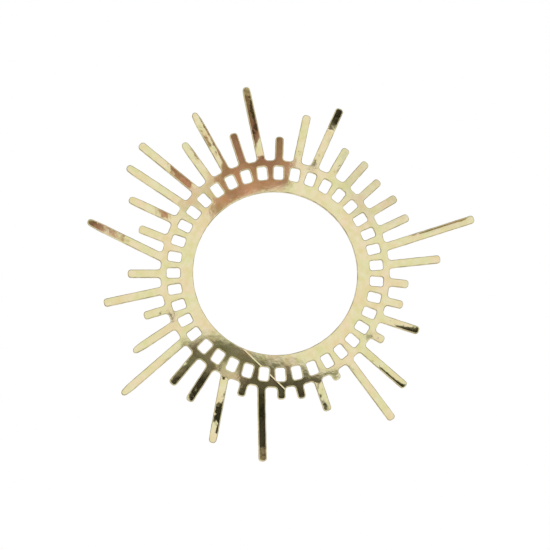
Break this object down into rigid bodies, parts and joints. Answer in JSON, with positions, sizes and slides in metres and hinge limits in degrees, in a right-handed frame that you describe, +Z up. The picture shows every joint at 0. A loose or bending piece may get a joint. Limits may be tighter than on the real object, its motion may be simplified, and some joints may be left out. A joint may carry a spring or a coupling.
{
  "type": "sunburst ring ornament",
  "caption": "Flat openwork ring of thin gold-plated brass with a round centre opening, a band of small windows and uneven slim rays; a jewellery or craft ornament.",
  "frame": {"origin": "centre of the round centre opening, midway through the sheet", "axes": "+Z up as worn or hung, front face towards -Y, back face towards +Y, +X to the right as seen from the front"},
  "size_m": [0.0473, 0.0006, 0.0459],
  "materials": {
    "gold_plate": "mirror-polished pale gold plate over brass sheet"
  },
  "bodies": {
    "root": {"sunburst_ring": "gold_plate"}
  },
  "joints": []
}
